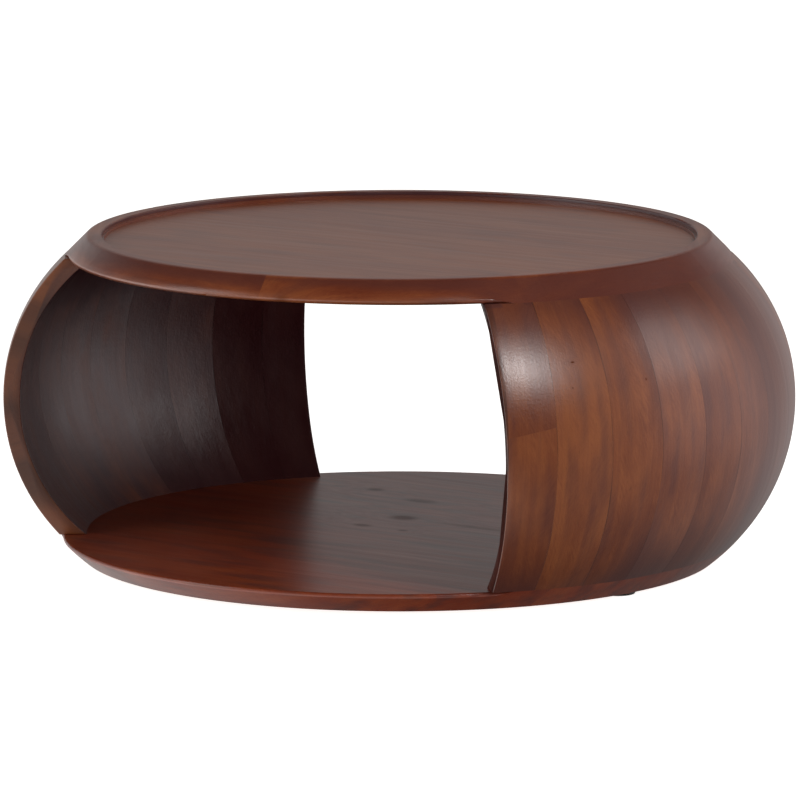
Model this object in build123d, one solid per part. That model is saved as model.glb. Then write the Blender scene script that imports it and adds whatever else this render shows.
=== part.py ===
from build123d import *

import os
from math import acos, asin, cos, degrees, radians, sin, sqrt, tan

# A low drum-shaped table of glued hardwood. Two bowed walls of upright staves stand on a round base
# board and carry a rimmed round top; the two sides between them are open right through the table.
# The origin is on the floor under the middle of the table, +Z is up, and the walls are on +X and -X.
# Lengths are in millimetres and angles in degrees.

# Bowed outline of the whole body
belly_radius = 450.0
belly_height = 180.0  # widest level, above the underside of the base board
mouth_radius = 379.0  # outer radius where the walls meet the rim
foot_radius = 362.0  # outer radius of the base board's underside

# Walls
wall_height = 317.0
wall_thickness = 20.0  # at the belly
mouth_land_width = 28.0  # level top of a wall, which carries the rim
foot_land_width = 32.0  # level foot of a wall
wall_angle = 79.3  # arc that one wall spans about the middle of the table
end_stave_angle = 7.2  # arc of the narrow stave at one end of a wall
stave_angle = 8.7  # arc of a common stave; the stave at the far end takes what is left
inner_lip_height = 3.0  # upright strip at the top of the inner face
cut_edge_radius = 2.0  # on the bowed edges that face the openings
butt_joint_height = 185.0  # of the joint in the two-piece stave, above the foot of the wall
butt_joint_slant = 9.5

# Base board
base_thickness = 23.0
base_board_count = 8
base_edge_radius = 2.0  # on the edge of the underside

# Rim around the top
rim_height = 26.0
rim_bevel_angle = 45.0  # lean of the outer face from upright
rim_width = 16.0  # from the bevel's upper corner to the recess
rim_edge_radius = 8.0  # where the bevel turns into the flat
recess_edge_radius = 1.5
recess_depth = 5.0  # from the flat of the rim to the ledge
ledge_width = 2.5
rim_segment_count = 8
rim_joint_angle = 11.0  # first end joint between segments, counted from +X

# Top panel, held in the rim by a tongue all round
panel_drop = 3.5  # from the ledge to the top of the panel
top_board_count = 7
tongue_depth = 6.0
tongue_thickness = 8.0
tongue_rise = 4.5  # from the underside of the panel to the tongue
tongue_gap = 1.0  # room for the panel to swell, at the bottom of the groove

# Rounding of the rim and the base board along the openings
opening_edge_radius = 3.0
run_out_radius = 60.0  # of the curve on which the rounding leaves the edge, past the wall's end
cutter_margin = 3.0

# Dowels across the joints of the walls, in line with the middle of the staves
dowel_diameter = 8.0
dowel_wall_depth = 20.0
dowel_base_cover = 9.0  # wood left below a dowel's end
dowel_groove_cover = 8.0  # wood left between a dowel's end and the groove for the panel's tongue
dowel_clearance = 0.1
dowel_end_gap = 0.5
dowel_chamfer = 1.0

# Floor glides and their screws
glide_count = 3
glide_angle = -9.0  # of the first glide, counted from +X
glide_diameter = 40.0
glide_height = 4.0
glide_inset = 5.0  # from the edge of the underside
glide_edge_radius = 1.0
screw_diameter = 4.0
screw_length = 16.0
screw_head_diameter = 8.0
screw_head_height = 1.8
screw_recess_length = 4.4
screw_recess_width = 0.9
screw_recess_depth = 1.0
screw_clearance = 0.05
head_clearance = 0.5
head_seat_height = 2.6  # from the floor to the seat of the screw's head

# Levels, from the floor up
base_bottom = glide_height
base_top = base_bottom + base_thickness
belly_level = base_bottom + belly_height
rim_bottom = base_top + wall_height
rim_top = rim_bottom + rim_height
ledge_level = rim_top - recess_depth
panel_top = ledge_level - panel_drop
tongue_bottom = rim_bottom + tongue_rise
tongue_top = tongue_bottom + tongue_thickness

# Radii
rim_corner_radius = mouth_radius - rim_height * tan(radians(rim_bevel_angle))
recess_radius = rim_corner_radius - rim_width
panel_radius = recess_radius - ledge_width
groove_radius = panel_radius + tongue_depth + tongue_gap
glide_circle_radius = foot_radius - glide_inset - glide_diameter / 2


class Bow:
    """Round face that is upright at the belly and curves in to one radius above it and one below."""

    def __init__(self, belly, mouth, mouth_level, foot, foot_level):
        self.belly = belly
        self.upper_arc = self.arc_radius(mouth, mouth_level)
        self.lower_arc = self.arc_radius(foot, foot_level)

    def arc_radius(self, edge, level):
        """Radius of the arc that is upright at the belly and passes through an edge."""
        reach = self.belly - edge
        rise = level - belly_level
        return (reach ** 2 + rise ** 2) / (2 * reach)

    def arc_at(self, level):
        """Radius of the arc that the face follows at a level."""
        return self.upper_arc if level > belly_level else self.lower_arc

    def radius(self, level):
        """Distance of the face from the table's axis at a level."""
        arc = self.arc_at(level)
        return self.belly - arc + sqrt(arc ** 2 - (level - belly_level) ** 2)

    def lean(self, level):
        """Lean of the face from upright at a level."""
        return degrees(asin((level - belly_level) / self.arc_at(level)))

    def curve(self, low, high):
        """The face's outline between two levels on one side of the belly."""
        levels = (low, (low + high) / 2, high)
        return ThreePointArc(*[(self.radius(level), level) for level in levels])


outer_face = Bow(belly_radius, mouth_radius, rim_bottom, foot_radius, base_bottom)
base_top_radius = outer_face.radius(base_top)
lip_bottom = rim_bottom - inner_lip_height
lip_radius = mouth_radius - mouth_land_width
wall_foot_radius = base_top_radius - foot_land_width
inner_face = Bow(belly_radius - wall_thickness, lip_radius, lip_bottom, wall_foot_radius, base_top)
wall_middle = Bow(
    belly_radius - wall_thickness / 2,
    mouth_radius - mouth_land_width / 2, rim_bottom,
    base_top_radius - foot_land_width / 2, base_top,
)


def section(lines):
    """Face drawn as radius and level, stood upright on the +X half-plane."""
    return Plane.XZ * make_face(lines)


def turned(face, start=0.0, arc=360.0):
    """Solid swept by a section about the middle of the table from a start angle through an arc."""
    return Rot(0, 0, start) * revolve(face, Axis.Z, revolution_arc=arc)


def rounded_corner(face, point, radius):
    """Flat face with the corner at a point rounded."""
    corner = face.vertices().sort_by_distance((point[0], point[1], 0))[0]
    return fillet(corner, radius)


def wall_section():
    """Section of a wall: bowed inside and out, level at both ends."""
    return section([
        outer_face.curve(base_top, belly_level),
        outer_face.curve(belly_level, rim_bottom),
        Polyline((mouth_radius, rim_bottom), (lip_radius, rim_bottom), (lip_radius, lip_bottom)),
        inner_face.curve(belly_level, lip_bottom),
        inner_face.curve(base_top, belly_level),
        Line((wall_foot_radius, base_top), (base_top_radius, base_top)),
    ])


def stave_joints():
    """Angles of a wall's first cut end, the joints between its staves and its far cut end."""
    far_end = wall_angle / 2
    joints = [-far_end, -far_end + end_stave_angle]
    while far_end - joints[-1] > 1.5 * stave_angle:
        joints.append(joints[-1] + stave_angle)
    return joints + [far_end]


def radial_plane(angle):
    """Upright plane through the middle of the table that faces round the table at an angle."""
    turn = radians(angle)
    return Plane(origin=(0, 0, 0), x_dir=(cos(turn), sin(turn), 0), z_dir=(-sin(turn), cos(turn), 0))


def with_rounded_end(stave, angle):
    """Stave with the bowed edges of the end at an angle rounded."""
    plane = radial_plane(angle)
    end = stave.faces().sort_by(lambda face: abs(plane.to_local_coords(face.center()).Z))[0]
    level_edges = end.edges().filter_by(Plane.XY)
    bowed_edges = [edge for edge in end.edges() if edge not in level_edges]
    return fillet(bowed_edges, cut_edge_radius)


def dowel_axis(level, way_up):
    """Plane on the middle of a wall's joint, moved up the wall's middle, along which its Z runs."""
    lean = radians(wall_middle.lean(level))
    up = Vector(-sin(lean), 0, cos(lean))
    return Plane(origin=Vector(wall_middle.radius(level), 0, level) + up * way_up, z_dir=up)


def dowel_span(level):
    """Lowest and highest ends of a dowel, along its own axis from the joint at a level."""
    lean = radians(wall_middle.lean(level))
    if level == base_top:
        return -(base_thickness - dowel_base_cover) / cos(lean), dowel_wall_depth
    room = wall_middle.radius(level) - groove_radius - dowel_groove_cover
    return -dowel_wall_depth, room / sin(lean)


def dowel(level):
    """Chamfered dowel across the joint at a level, on the +X side."""
    low, high = dowel_span(level)
    pin = Cylinder(dowel_diameter / 2, high - low)
    pin = chamfer(pin.edges().filter_by(GeomType.CIRCLE), dowel_chamfer)
    return dowel_axis(level, (low + high) / 2) * pin


def dowel_hole(level):
    """Bore for the dowel across the joint at a level."""
    low, high = dowel_span(level)
    bore = Cylinder(dowel_diameter / 2 + dowel_clearance, high - low + 2 * dowel_end_gap)
    return dowel_axis(level, (low + high) / 2) * bore


def dowel_angles(wall_turn):
    """Angles of the dowels of a wall: the middle of each stave."""
    joints = stave_joints()
    return [wall_turn + (start + end) / 2 for start, end in zip(joints, joints[1:])]


def dowel_holes(level):
    """Bores for the dowels of both walls at a level."""
    angles = dowel_angles(0) + dowel_angles(180)
    return [Rot(0, 0, angle) * dowel_hole(level) for angle in angles]


def edge_cutter_section(corner_radius, corner_level, lean, up):
    """Waste outside a rounded board edge. The board lies on the side of its flat face that up names,
    1 for above and -1 for below, and its outer face leans in by an angle from upright."""
    lean = radians(lean)
    setback = opening_edge_radius / tan((radians(90) - lean) / 2)
    flat_end = (corner_radius - setback, corner_level)
    lean_end = (corner_radius - setback * sin(lean), corner_level + up * setback * cos(lean))
    clear_of_face = (
        lean_end[0] + cutter_margin * cos(lean),
        lean_end[1] + up * cutter_margin * sin(lean),
    )
    clear_of_corner = (corner_radius + 2 * cutter_margin, corner_level - up * cutter_margin)
    clear_of_flat = (flat_end[0], corner_level - up * cutter_margin)
    return section([
        TangentArc(flat_end, lean_end, tangent=(1, 0)),
        Polyline(lean_end, clear_of_face, clear_of_corner, clear_of_flat, flat_end),
    ])


def edge_cutters(corner_radius, corner_level, lean, up):
    """Waste to take off a board's outer edge along both openings, running out past the walls."""
    waste = edge_cutter_section(corner_radius, corner_level, lean, up)
    setback = opening_edge_radius / tan(radians(90 - lean) / 2)
    run_out_angle = degrees(acos(1 - setback / run_out_radius))
    opening_angle = 180 - wall_angle
    pivot = corner_radius + run_out_radius
    far_run_out = revolve(waste, Axis((pivot, 0, 0), (0, 0, -1)), revolution_arc=run_out_angle)
    near_run_out = revolve(waste, Axis((pivot, 0, 0), (0, 0, 1)), revolution_arc=run_out_angle)
    cutters = []
    for start in (wall_angle / 2, wall_angle / 2 + 180):
        cutters.append(turned(waste, start, opening_angle))
        cutters.append(Rot(0, 0, start) * near_run_out)
        cutters.append(Rot(0, 0, start + opening_angle) * far_run_out)
    return cutters


def wall_staves():
    """Staves of one wall on +X, in order of angle."""
    joints = stave_joints()
    profile = wall_section()
    staves = []
    for start, end in zip(joints, joints[1:]):
        stave = turned(profile, start, end - start)
        if start == joints[0]:
            stave = with_rounded_end(stave, start)
        if end == joints[-1]:
            stave = with_rounded_end(stave, end)
        middle = (start + end) / 2
        bores = [Rot(0, 0, middle) * dowel_hole(level) for level in (base_top, rim_bottom)]
        staves.append(stave - bores)
    return staves


def butt_jointed(stave):
    """Upper and lower pieces of the stave at the first end of a wall."""
    joints = stave_joints()
    turn = radians((joints[0] + joints[1]) / 2)
    slant = radians(butt_joint_slant)
    joint = Plane(
        origin=(belly_radius * cos(turn), belly_radius * sin(turn), base_top + butt_joint_height),
        z_dir=(sin(slant) * sin(turn), -sin(slant) * cos(turn), cos(slant)),
    )
    return split(stave, joint, keep=Keep.TOP), split(stave, joint, keep=Keep.BOTTOM)


def rim_segments():
    """Bevelled segments of the rim, with a recess, a ledge and a groove for the panel's tongue."""
    bevel_corner = (rim_corner_radius, rim_top)
    recess_corner = (recess_radius, rim_top)
    profile = make_face(Polyline(
        (mouth_radius, rim_bottom),
        bevel_corner,
        recess_corner,
        (recess_radius, ledge_level),
        (panel_radius, ledge_level),
        (panel_radius, tongue_top),
        (groove_radius, tongue_top),
        (groove_radius, tongue_bottom),
        (panel_radius, tongue_bottom),
        (panel_radius, rim_bottom),
        close=True,
    ))
    profile = rounded_corner(profile, bevel_corner, rim_edge_radius)
    profile = rounded_corner(profile, recess_corner, recess_edge_radius)
    waste = edge_cutters(mouth_radius, rim_bottom, rim_bevel_angle, 1) + dowel_holes(rim_bottom)
    arc = 360 / rim_segment_count
    starts = [rim_joint_angle + arc * index for index in range(rim_segment_count)]
    return [turned(Plane.XZ * profile, start, arc) - waste for start in starts]


def sawn_into_boards(disc, radius, bottom, top, count):
    """Parallel boards, along X, that a round panel is glued up from."""
    width = 2 * radius / count
    middle = (bottom + top) / 2
    boards = []
    for index in range(count):
        strip = Box(2 * radius, width, top - bottom)
        boards.append(disc & Pos(0, (index + 0.5) * width - radius, middle) * strip)
    return boards


def top_boards():
    """Boards of the top panel, with the tongue on their ends and on the outer edges."""
    tongue_radius = panel_radius + tongue_depth
    disc = turned(section(Polyline(
        (0, rim_bottom),
        (panel_radius, rim_bottom),
        (panel_radius, tongue_bottom),
        (tongue_radius, tongue_bottom),
        (tongue_radius, tongue_top),
        (panel_radius, tongue_top),
        (panel_radius, panel_top),
        (0, panel_top),
        close=True,
    )))
    return sawn_into_boards(disc, tongue_radius, rim_bottom, panel_top, top_board_count)


def on_glide_circle(piece):
    """Copies of a piece at the places of the glides."""
    turns = [glide_angle + 360 / glide_count * index for index in range(glide_count)]
    return [Rot(0, 0, turn) * Pos(glide_circle_radius, 0, 0) * piece for turn in turns]


def base_boards():
    """Boards of the base, whose outer edge follows the bowed outline."""
    profile = make_face([
        outer_face.curve(base_bottom, base_top),
        Polyline((base_top_radius, base_top), (0, base_top), (0, base_bottom), (foot_radius, base_bottom)),
    ])
    profile = rounded_corner(profile, (foot_radius, base_bottom), base_edge_radius)
    disc = turned(Plane.XZ * profile)
    disc -= edge_cutters(base_top_radius, base_top, -outer_face.lean(base_top), -1)
    disc -= dowel_holes(base_top)
    disc -= on_glide_circle(screw_hole())
    return sawn_into_boards(disc, base_top_radius, base_bottom, base_top, base_board_count)


def screw_hole():
    """Hole for the thread of a glide's screw, from the floor up."""
    upright = (Align.CENTER, Align.CENTER, Align.MIN)
    reach = head_seat_height + screw_length + screw_clearance
    return Cylinder(screw_diameter / 2 + screw_clearance, reach, align=upright)


def glide():
    """Floor glide with an eased lower edge and a seat for the screw's head."""
    upright = (Align.CENTER, Align.CENTER, Align.MIN)
    disc = Cylinder(glide_diameter / 2, glide_height, align=upright)
    disc = fillet(disc.edges().filter_by(GeomType.CIRCLE).sort_by(Axis.Z)[0], glide_edge_radius)
    head_room = Cylinder(screw_head_diameter / 2 + head_clearance, head_seat_height, align=upright)
    return disc - head_room - screw_hole()


def glide_screw():
    """Flat-headed screw with a cross recess in its head, which faces the floor."""
    shank = Pos(0, 0, head_seat_height) * Cylinder(
        screw_diameter / 2, screw_length, align=(Align.CENTER, Align.CENTER, Align.MIN))
    head = Pos(0, 0, head_seat_height) * Cylinder(
        screw_head_diameter / 2, screw_head_height, align=(Align.CENTER, Align.CENTER, Align.MAX))
    slot = Pos(0, 0, head_seat_height - screw_head_height) * Box(
        screw_recess_length, screw_recess_width, 2 * screw_recess_depth)
    return shank + head - slot - Rot(0, 0, 90) * slot


def numbered(name, pieces):
    """Pieces by node name, counted from 1."""
    return {f"{name}_{index}": piece for index, piece in enumerate(pieces, 1)}


def table():
    """Every piece of the table by its node name."""
    staves = wall_staves()
    left_staves = [Rot(0, 0, 180) * stave for stave in staves]
    nodes = {}
    nodes.update(numbered("top_board", top_boards()))
    nodes.update(numbered("rim_segment", rim_segments()))
    nodes.update(numbered("right_stave", staves))
    nodes.update(numbered("left_stave", left_staves))
    whole_stave = nodes.pop("right_stave_1")
    nodes["right_stave_1_upper"], nodes["right_stave_1_lower"] = butt_jointed(whole_stave)
    nodes.update(numbered("base_board", base_boards()))
    for wall, wall_turn in (("right", 0), ("left", 180)):
        for place, level in (("rim", rim_bottom), ("base", base_top)):
            pins = [Rot(0, 0, angle) * dowel(level) for angle in dowel_angles(wall_turn)]
            nodes[f"{wall}_{place}_dowels"] = Part() + pins
    nodes.update(numbered("glide", on_glide_circle(glide())))
    nodes["glide_screws"] = Part() + on_glide_circle(glide_screw())
    return nodes


os.makedirs("parts", exist_ok=True)
for node, piece in table().items():
    export_step(piece, f"parts/{node}.step")
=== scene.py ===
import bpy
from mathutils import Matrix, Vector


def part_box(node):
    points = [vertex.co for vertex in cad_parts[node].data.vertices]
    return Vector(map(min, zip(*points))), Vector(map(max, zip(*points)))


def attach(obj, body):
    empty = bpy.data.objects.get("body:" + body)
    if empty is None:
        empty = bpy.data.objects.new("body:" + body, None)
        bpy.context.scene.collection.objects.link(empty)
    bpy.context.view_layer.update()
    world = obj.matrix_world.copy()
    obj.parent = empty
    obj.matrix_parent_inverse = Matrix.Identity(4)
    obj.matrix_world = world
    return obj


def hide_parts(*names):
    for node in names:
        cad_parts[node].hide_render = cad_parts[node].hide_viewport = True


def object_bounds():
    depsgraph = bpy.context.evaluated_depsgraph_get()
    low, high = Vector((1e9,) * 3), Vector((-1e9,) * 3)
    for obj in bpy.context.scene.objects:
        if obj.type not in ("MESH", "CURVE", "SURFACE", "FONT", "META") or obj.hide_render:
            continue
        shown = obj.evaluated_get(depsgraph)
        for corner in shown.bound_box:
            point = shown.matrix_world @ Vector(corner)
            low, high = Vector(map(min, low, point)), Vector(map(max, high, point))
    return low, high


bl_info = {
    "name": "Stave-built drum table",
    "version": (1, 0, 0),
    "blender": (4, 5, 0),
    "location": "3D View > Sidebar > Drum table",
    "description": "Dresses the packed drum table: staves, boards, rim, glides and studio",
    "category": "Object",
}

from math import asin, atan2, cos, hypot, radians, sin, sqrt, tan

import bpy
from mathutils import Vector, noise

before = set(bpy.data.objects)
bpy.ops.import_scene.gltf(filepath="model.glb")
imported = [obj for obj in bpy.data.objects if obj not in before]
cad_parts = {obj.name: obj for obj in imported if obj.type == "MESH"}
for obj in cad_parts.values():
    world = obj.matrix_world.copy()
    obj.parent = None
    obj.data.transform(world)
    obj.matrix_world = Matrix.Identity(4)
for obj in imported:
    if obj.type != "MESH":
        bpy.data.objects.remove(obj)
cad_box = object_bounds()

MM = 0.001
CENTRE = (0.0, 0.0, 0.0)
UP = (0.0, 0.0, 1.0)
FULL_TURN = radians(360)

# Faces of a stave that meet at less than this are shaded as one surface
SMOOTH_ANGLE = radians(40)

# How far apart the staves' places in the wood lie, for a step of one in their seeds
SEED_STEP = (0.31, 1.7, 0.53)


# Sizes and colours that a user would change

def length(label, text, default, soft_max=1.0):
    """Length property in metres."""
    return bpy.props.FloatProperty(
        name=label, description=text, default=default, min=0.0, soft_max=soft_max,
        precision=4, unit="LENGTH")


def angle(label, text, default):
    """Angle property, whose default is given in degrees."""
    return bpy.props.FloatProperty(
        name=label, description=text, default=radians(default), subtype="ANGLE")


def share(label, text, default):
    """Property between 0 and 1."""
    return bpy.props.FloatProperty(
        name=label, description=text, default=default, min=0.0, max=1.0, subtype="FACTOR")


def number(label, text, default):
    """Plain number property."""
    return bpy.props.FloatProperty(name=label, description=text, default=default, min=0.0)


def linear(hex_colour):
    """Linear colour of an sRGB hex value."""
    channels = [int(hex_colour[at:at + 2], 16) / 255 for at in (1, 3, 5)]
    return [c / 12.92 if c <= 0.04045 else ((c + 0.055) / 1.055) ** 2.4 for c in channels]


def colour(label, text, hex_colour):
    """Colour property, whose default is an sRGB hex value."""
    return bpy.props.FloatVectorProperty(
        name=label, description=text, default=linear(hex_colour), size=3, min=0.0, max=1.0,
        subtype="COLOR")


class DrumTableWalls(bpy.types.PropertyGroup):
    belly_radius: length("Belly radius", "Outer radius at the widest level", cad_box[1].x)
    belly_level: length("Belly level", "Height of the widest level above the floor", 184 * MM)
    mouth_radius: length("Mouth radius", "Outer radius where the walls meet the rim", 379 * MM)
    foot_radius: length("Foot radius", "Outer radius of the base's underside", 362 * MM)
    wall_thickness: length("Wall thickness", "Thickness at the belly", 20 * MM)
    mouth_land: length("Top land", "Width of the level top of a wall", 28 * MM)
    foot_land: length("Foot land", "Width of the level foot of a wall", 32 * MM)
    lip_height: length("Inner lip", "Upright strip at the top of the inner face", 3 * MM)
    wall_angle: angle("Wall angle", "Arc of one wall", 79.3)
    end_stave_angle: angle("End stave", "Arc of the narrow stave at one end of a wall", 7.2)
    stave_angle: angle("Stave", "Arc of a common stave", 8.7)
    cut_edge_radius: length("Cut edge", "Rounding of the bowed edges at the openings", 1.4 * MM)
    cut_lean: angle("Cut lean", "How far the right wall's front end stands out at its top", 1.1)
    cut_skew: angle("Cut skew", "How far the inner edge of that end lies back", 0.4)
    far_cut_lean: angle("Far cut lean", "How far the left wall's far end falls short at its top", 0.4)
    joint_easing: length("Joint easing", "Easing of the edges along the glue joints", 0.06 * MM)
    butt_height: length("Butt joint", "Height of the butt joint above the base", 185 * MM)
    butt_slant: angle("Butt slant", "Slant of the butt joint from level", 9.5)
    unevenness: length("Unevenness", "Depth that hand sanding left on the faces", 1.3 * MM)
    unevenness_size: length("Unevenness size", "Width of one hollow left by sanding", 70 * MM)
    rows: bpy.props.IntProperty(name="Rows", description="Faces up a stave", default=72, min=8)
    columns: bpy.props.IntProperty(name="Columns", description="Faces across a stave", default=8)


class DrumTableFinish(bpy.types.PropertyGroup):
    dark: colour("Dark figure", "Stain in the dense late wood", "#48200F")
    middle: colour("Body colour", "Stain on the plain wood", "#713C23")
    light: colour("Light figure", "Stain on the pale, open wood", "#945931")
    plum: colour("Plum cast", "Cast of the wood that took more stain", "#532D28")
    red: colour("Red cast", "Cast of the redder wood, most of all in the base", "#8A2E19")
    # The inner stain also serves as painted shade under the rim and in the rim's recess
    inside: colour("Inner stain", "Thick dark stain on the inner faces of the walls", "#3E181D")
    pore: colour("Pores", "Stain that gathered in the pores", "#1F0C08")
    glue: colour("Glue line", "Stain that gathered along the glue joints", "#1A0907")
    lacquer_roughness: share("Lacquer roughness", "Roughness of the satin lacquer", 0.30)


class DrumTableStudio(bpy.types.PropertyGroup):
    camera_distance: length("Camera distance", "Level distance from the table's middle", 8.075)
    camera_height: length("Camera height", "Height of the lens above the floor", 1.538)
    camera_azimuth: angle("Camera azimuth", "Way round from the front opening", 35.2)
    camera_pitch: angle("Camera pitch", "How far the camera looks down", 9.565)
    lens: number("Lens", "Focal length in millimetres", 324.04)
    shift: number("Shift", "Sideways shift, as a share of the width", 0.00075)
    key_power: number("Key light", "Power of the small key softbox, in watts", 24.0)
    tall_power: number("Tall light", "Power of the tall softbox round the key, in watts", 19.0)
    side_power: number("Side light", "Power of the broad side softbox, in watts", 11.0)
    left_power: number("Left light", "Power of the softbox at the left, in watts", 19.0)
    room: number("Room light", "Brightness of the studio away from its lit walls", 0.036)
    floor: colour("Floor", "Colour of the floor", "#F8F7F5")
    floor_glow: share("Floor glow", "Brightness that the lit floor has by itself", 0.98)


# Shape of the walls

class Bow:
    """Round face that is upright at the belly and curves in to one radius above it, one below."""

    def __init__(self, belly, belly_level, upper, lower):
        self.belly = belly
        self.belly_level = belly_level
        self.upper_arc = self.arc_radius(*upper)
        self.lower_arc = self.arc_radius(*lower)

    def arc_radius(self, edge, level):
        """Radius of the arc that is upright at the belly and passes through an edge."""
        reach = self.belly - edge
        return (reach ** 2 + (level - self.belly_level) ** 2) / (2 * reach)

    def radius(self, level):
        """Distance of the face from the table's axis at a level."""
        arc = self.upper_arc if level > self.belly_level else self.lower_arc
        return self.belly - arc + sqrt(arc ** 2 - (level - self.belly_level) ** 2)

    def climb(self, level):
        """Distance along the face from the belly to a level, negative below the belly."""
        arc = self.upper_arc if level > self.belly_level else self.lower_arc
        return arc * asin((level - self.belly_level) / arc)


class Wall:
    """Levels, bowed faces and stave joints of a wall, from the sizes and the frame."""

    def __init__(self, sizes):
        self.sizes = sizes
        self.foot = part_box("left_stave_5")[0].z
        self.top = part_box("left_stave_5")[1].z
        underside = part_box("base_board_4")[0].z
        self.lip_bottom = self.top - sizes.lip_height
        self.low_level = underside + (sizes.belly_level - underside) / 2
        self.outer = Bow(
            sizes.belly_radius, sizes.belly_level,
            (sizes.mouth_radius, self.top), (sizes.foot_radius, underside))
        self.inner = Bow(
            sizes.belly_radius - sizes.wall_thickness, sizes.belly_level,
            (sizes.mouth_radius - sizes.mouth_land, self.lip_bottom),
            (self.outer.radius(self.foot) - sizes.foot_land, self.foot))

    def outline(self):
        """Corners of the section as radius and level: up the outer face and down the inner one."""
        rows = self.sizes.rows
        rise = self.top - self.foot
        fall = self.lip_bottom - self.foot
        up = [self.foot + rise * row / rows for row in range(rows + 1)]
        down = [self.lip_bottom - fall * row / rows for row in range(rows + 1)]
        lip = (self.sizes.mouth_radius - self.sizes.mouth_land, self.top)
        outer = [(self.outer.radius(level), level) for level in up]
        inner = [(self.inner.radius(level), level) for level in down]
        return outer + [lip] + inner

    def joints(self):
        """Angles of the first cut end, the joints between the staves and the far cut end."""
        far_end = self.sizes.wall_angle / 2
        joints = [-far_end, -far_end + self.sizes.end_stave_angle]
        while far_end - joints[-1] > 1.5 * self.sizes.stave_angle:
            joints.append(joints[-1] + self.sizes.stave_angle)
        return joints + [far_end]


# Modelling

def clamp(value, low=0, high=1):
    return min(max(value, low), high)


def deselect_all():
    bpy.ops.object.select_all(action="DESELECT")


def activate(piece):
    """Makes a piece the only selected and active object."""
    deselect_all()
    piece.select_set(True)
    bpy.context.view_layer.objects.active = piece


def edit(piece):
    """Enters edit mode on a piece with nothing selected."""
    activate(piece)
    bpy.ops.object.mode_set(mode="EDIT")
    bpy.ops.mesh.select_all(action="DESELECT")


def finish_editing():
    bpy.ops.object.mode_set(mode="OBJECT")


def select_edges(piece, chosen):
    """Selects the edges of a piece in edit mode whose two corners both pass a test."""
    bpy.ops.object.mode_set(mode="OBJECT")
    mesh = piece.data
    fits = [chosen(vertex.co) for vertex in mesh.vertices]
    for edge in mesh.edges:
        edge.select = fits[edge.vertices[0]] and fits[edge.vertices[1]]
    bpy.ops.object.mode_set(mode="EDIT")
    bpy.ops.mesh.select_mode(type="EDGE")


def apply_modifiers(piece):
    activate(piece)
    for modifier in list(piece.modifiers):
        bpy.ops.object.modifier_apply(modifier=modifier.name)


def spun_stave(wall, arc):
    """Stave from angle 0 through an arc: its section is drawn point by point and spun."""
    outline = wall.outline()
    radius, level = outline[0]
    deselect_all()
    bpy.ops.mesh.primitive_plane_add(size=MM, location=(radius, 0, level))
    piece = bpy.context.object
    bpy.ops.object.transform_apply()
    bpy.ops.object.mode_set(mode="EDIT")
    bpy.ops.mesh.select_mode(type="VERT")
    bpy.ops.mesh.merge(type="CENTER")
    for (radius, level), (next_radius, next_level) in zip(outline, outline[1:]):
        step = (next_radius - radius, 0, next_level - level)
        bpy.ops.mesh.extrude_region_move(TRANSFORM_OT_translate={"value": step})
    bpy.ops.mesh.select_all(action="SELECT")
    bpy.ops.mesh.edge_face_add()
    bpy.ops.mesh.spin(steps=wall.sizes.columns, angle=-arc, center=CENTRE, axis=UP)
    bpy.ops.mesh.select_all(action="SELECT")
    bpy.ops.mesh.remove_doubles(threshold=MM / 100)
    bpy.ops.mesh.normals_make_consistent()
    finish_editing()
    return piece


def round_cut_end(piece, wall, end_angle):
    """Rounds the two bowed edges of the end of a stave that faces an opening."""
    edit(piece)
    near = MM / 10

    def on_cut(corner):
        off_end = abs(atan2(corner.y, corner.x) - end_angle) * corner.x < near
        reach = hypot(corner.x, corner.y)
        outside = abs(reach - wall.outer.radius(corner.z)) < near
        if corner.z > wall.lip_bottom:
            inside = reach < wall.sizes.mouth_radius - wall.sizes.mouth_land + near
        else:
            inside = abs(reach - wall.inner.radius(corner.z)) < near
        return off_end and (outside or inside)

    select_edges(piece, on_cut)
    bpy.ops.mesh.bevel(offset=wall.sizes.cut_edge_radius, segments=4)
    finish_editing()


def stand_at(piece, turn):
    """Turns a piece's mesh about the table's axis."""
    activate(piece)
    bpy.ops.transform.rotate(value=-turn, orient_axis="Z", center_override=CENTRE)
    bpy.ops.object.transform_apply()


def copy_of(piece, name):
    """Copy of a piece with a mesh of its own."""
    activate(piece)
    bpy.ops.object.duplicate()
    made = bpy.context.object
    made.name = name
    made.data.name = name
    return made


def sawn(piece, point, normal, keep_above):
    """Cuts a piece by a plane, keeps one side and closes the cut."""
    edit(piece)
    bpy.ops.mesh.select_all(action="SELECT")
    bpy.ops.mesh.bisect(
        plane_co=point, plane_no=normal, use_fill=True,
        clear_inner=keep_above, clear_outer=not keep_above)
    finish_editing()


def lean_cut_end(piece, wall, span, lean, skew):
    """Moves the cut end of the first stave of a wall round the table: by the lean at the top of
    its outer edge, fading to none below, and by the skew as well at its inner edge. The joint
    side stays."""
    for vertex in piece.data.vertices:
        x, y, z = vertex.co
        level = clamp(z, wall.foot, wall.lip_bottom)
        turned = (atan2(y, x) - span[0] + FULL_TURN) % FULL_TURN
        if turned > FULL_TURN / 2:
            # Rounding put a corner of the cut end just before it
            turned = 0.0
        near_cut = 1 - turned / (span[1] - span[0])
        depth = wall.outer.radius(level) - hypot(x, y)
        inward = clamp(depth / (wall.outer.radius(level) - wall.inner.radius(level)))
        rise = max((level - wall.low_level) / (wall.top - wall.low_level), 0)
        shift = near_cut * (lean * rise ** 2 + skew * inward)
        vertex.co = (
            x * cos(shift) - y * sin(shift),
            x * sin(shift) + y * cos(shift),
            z)


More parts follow.
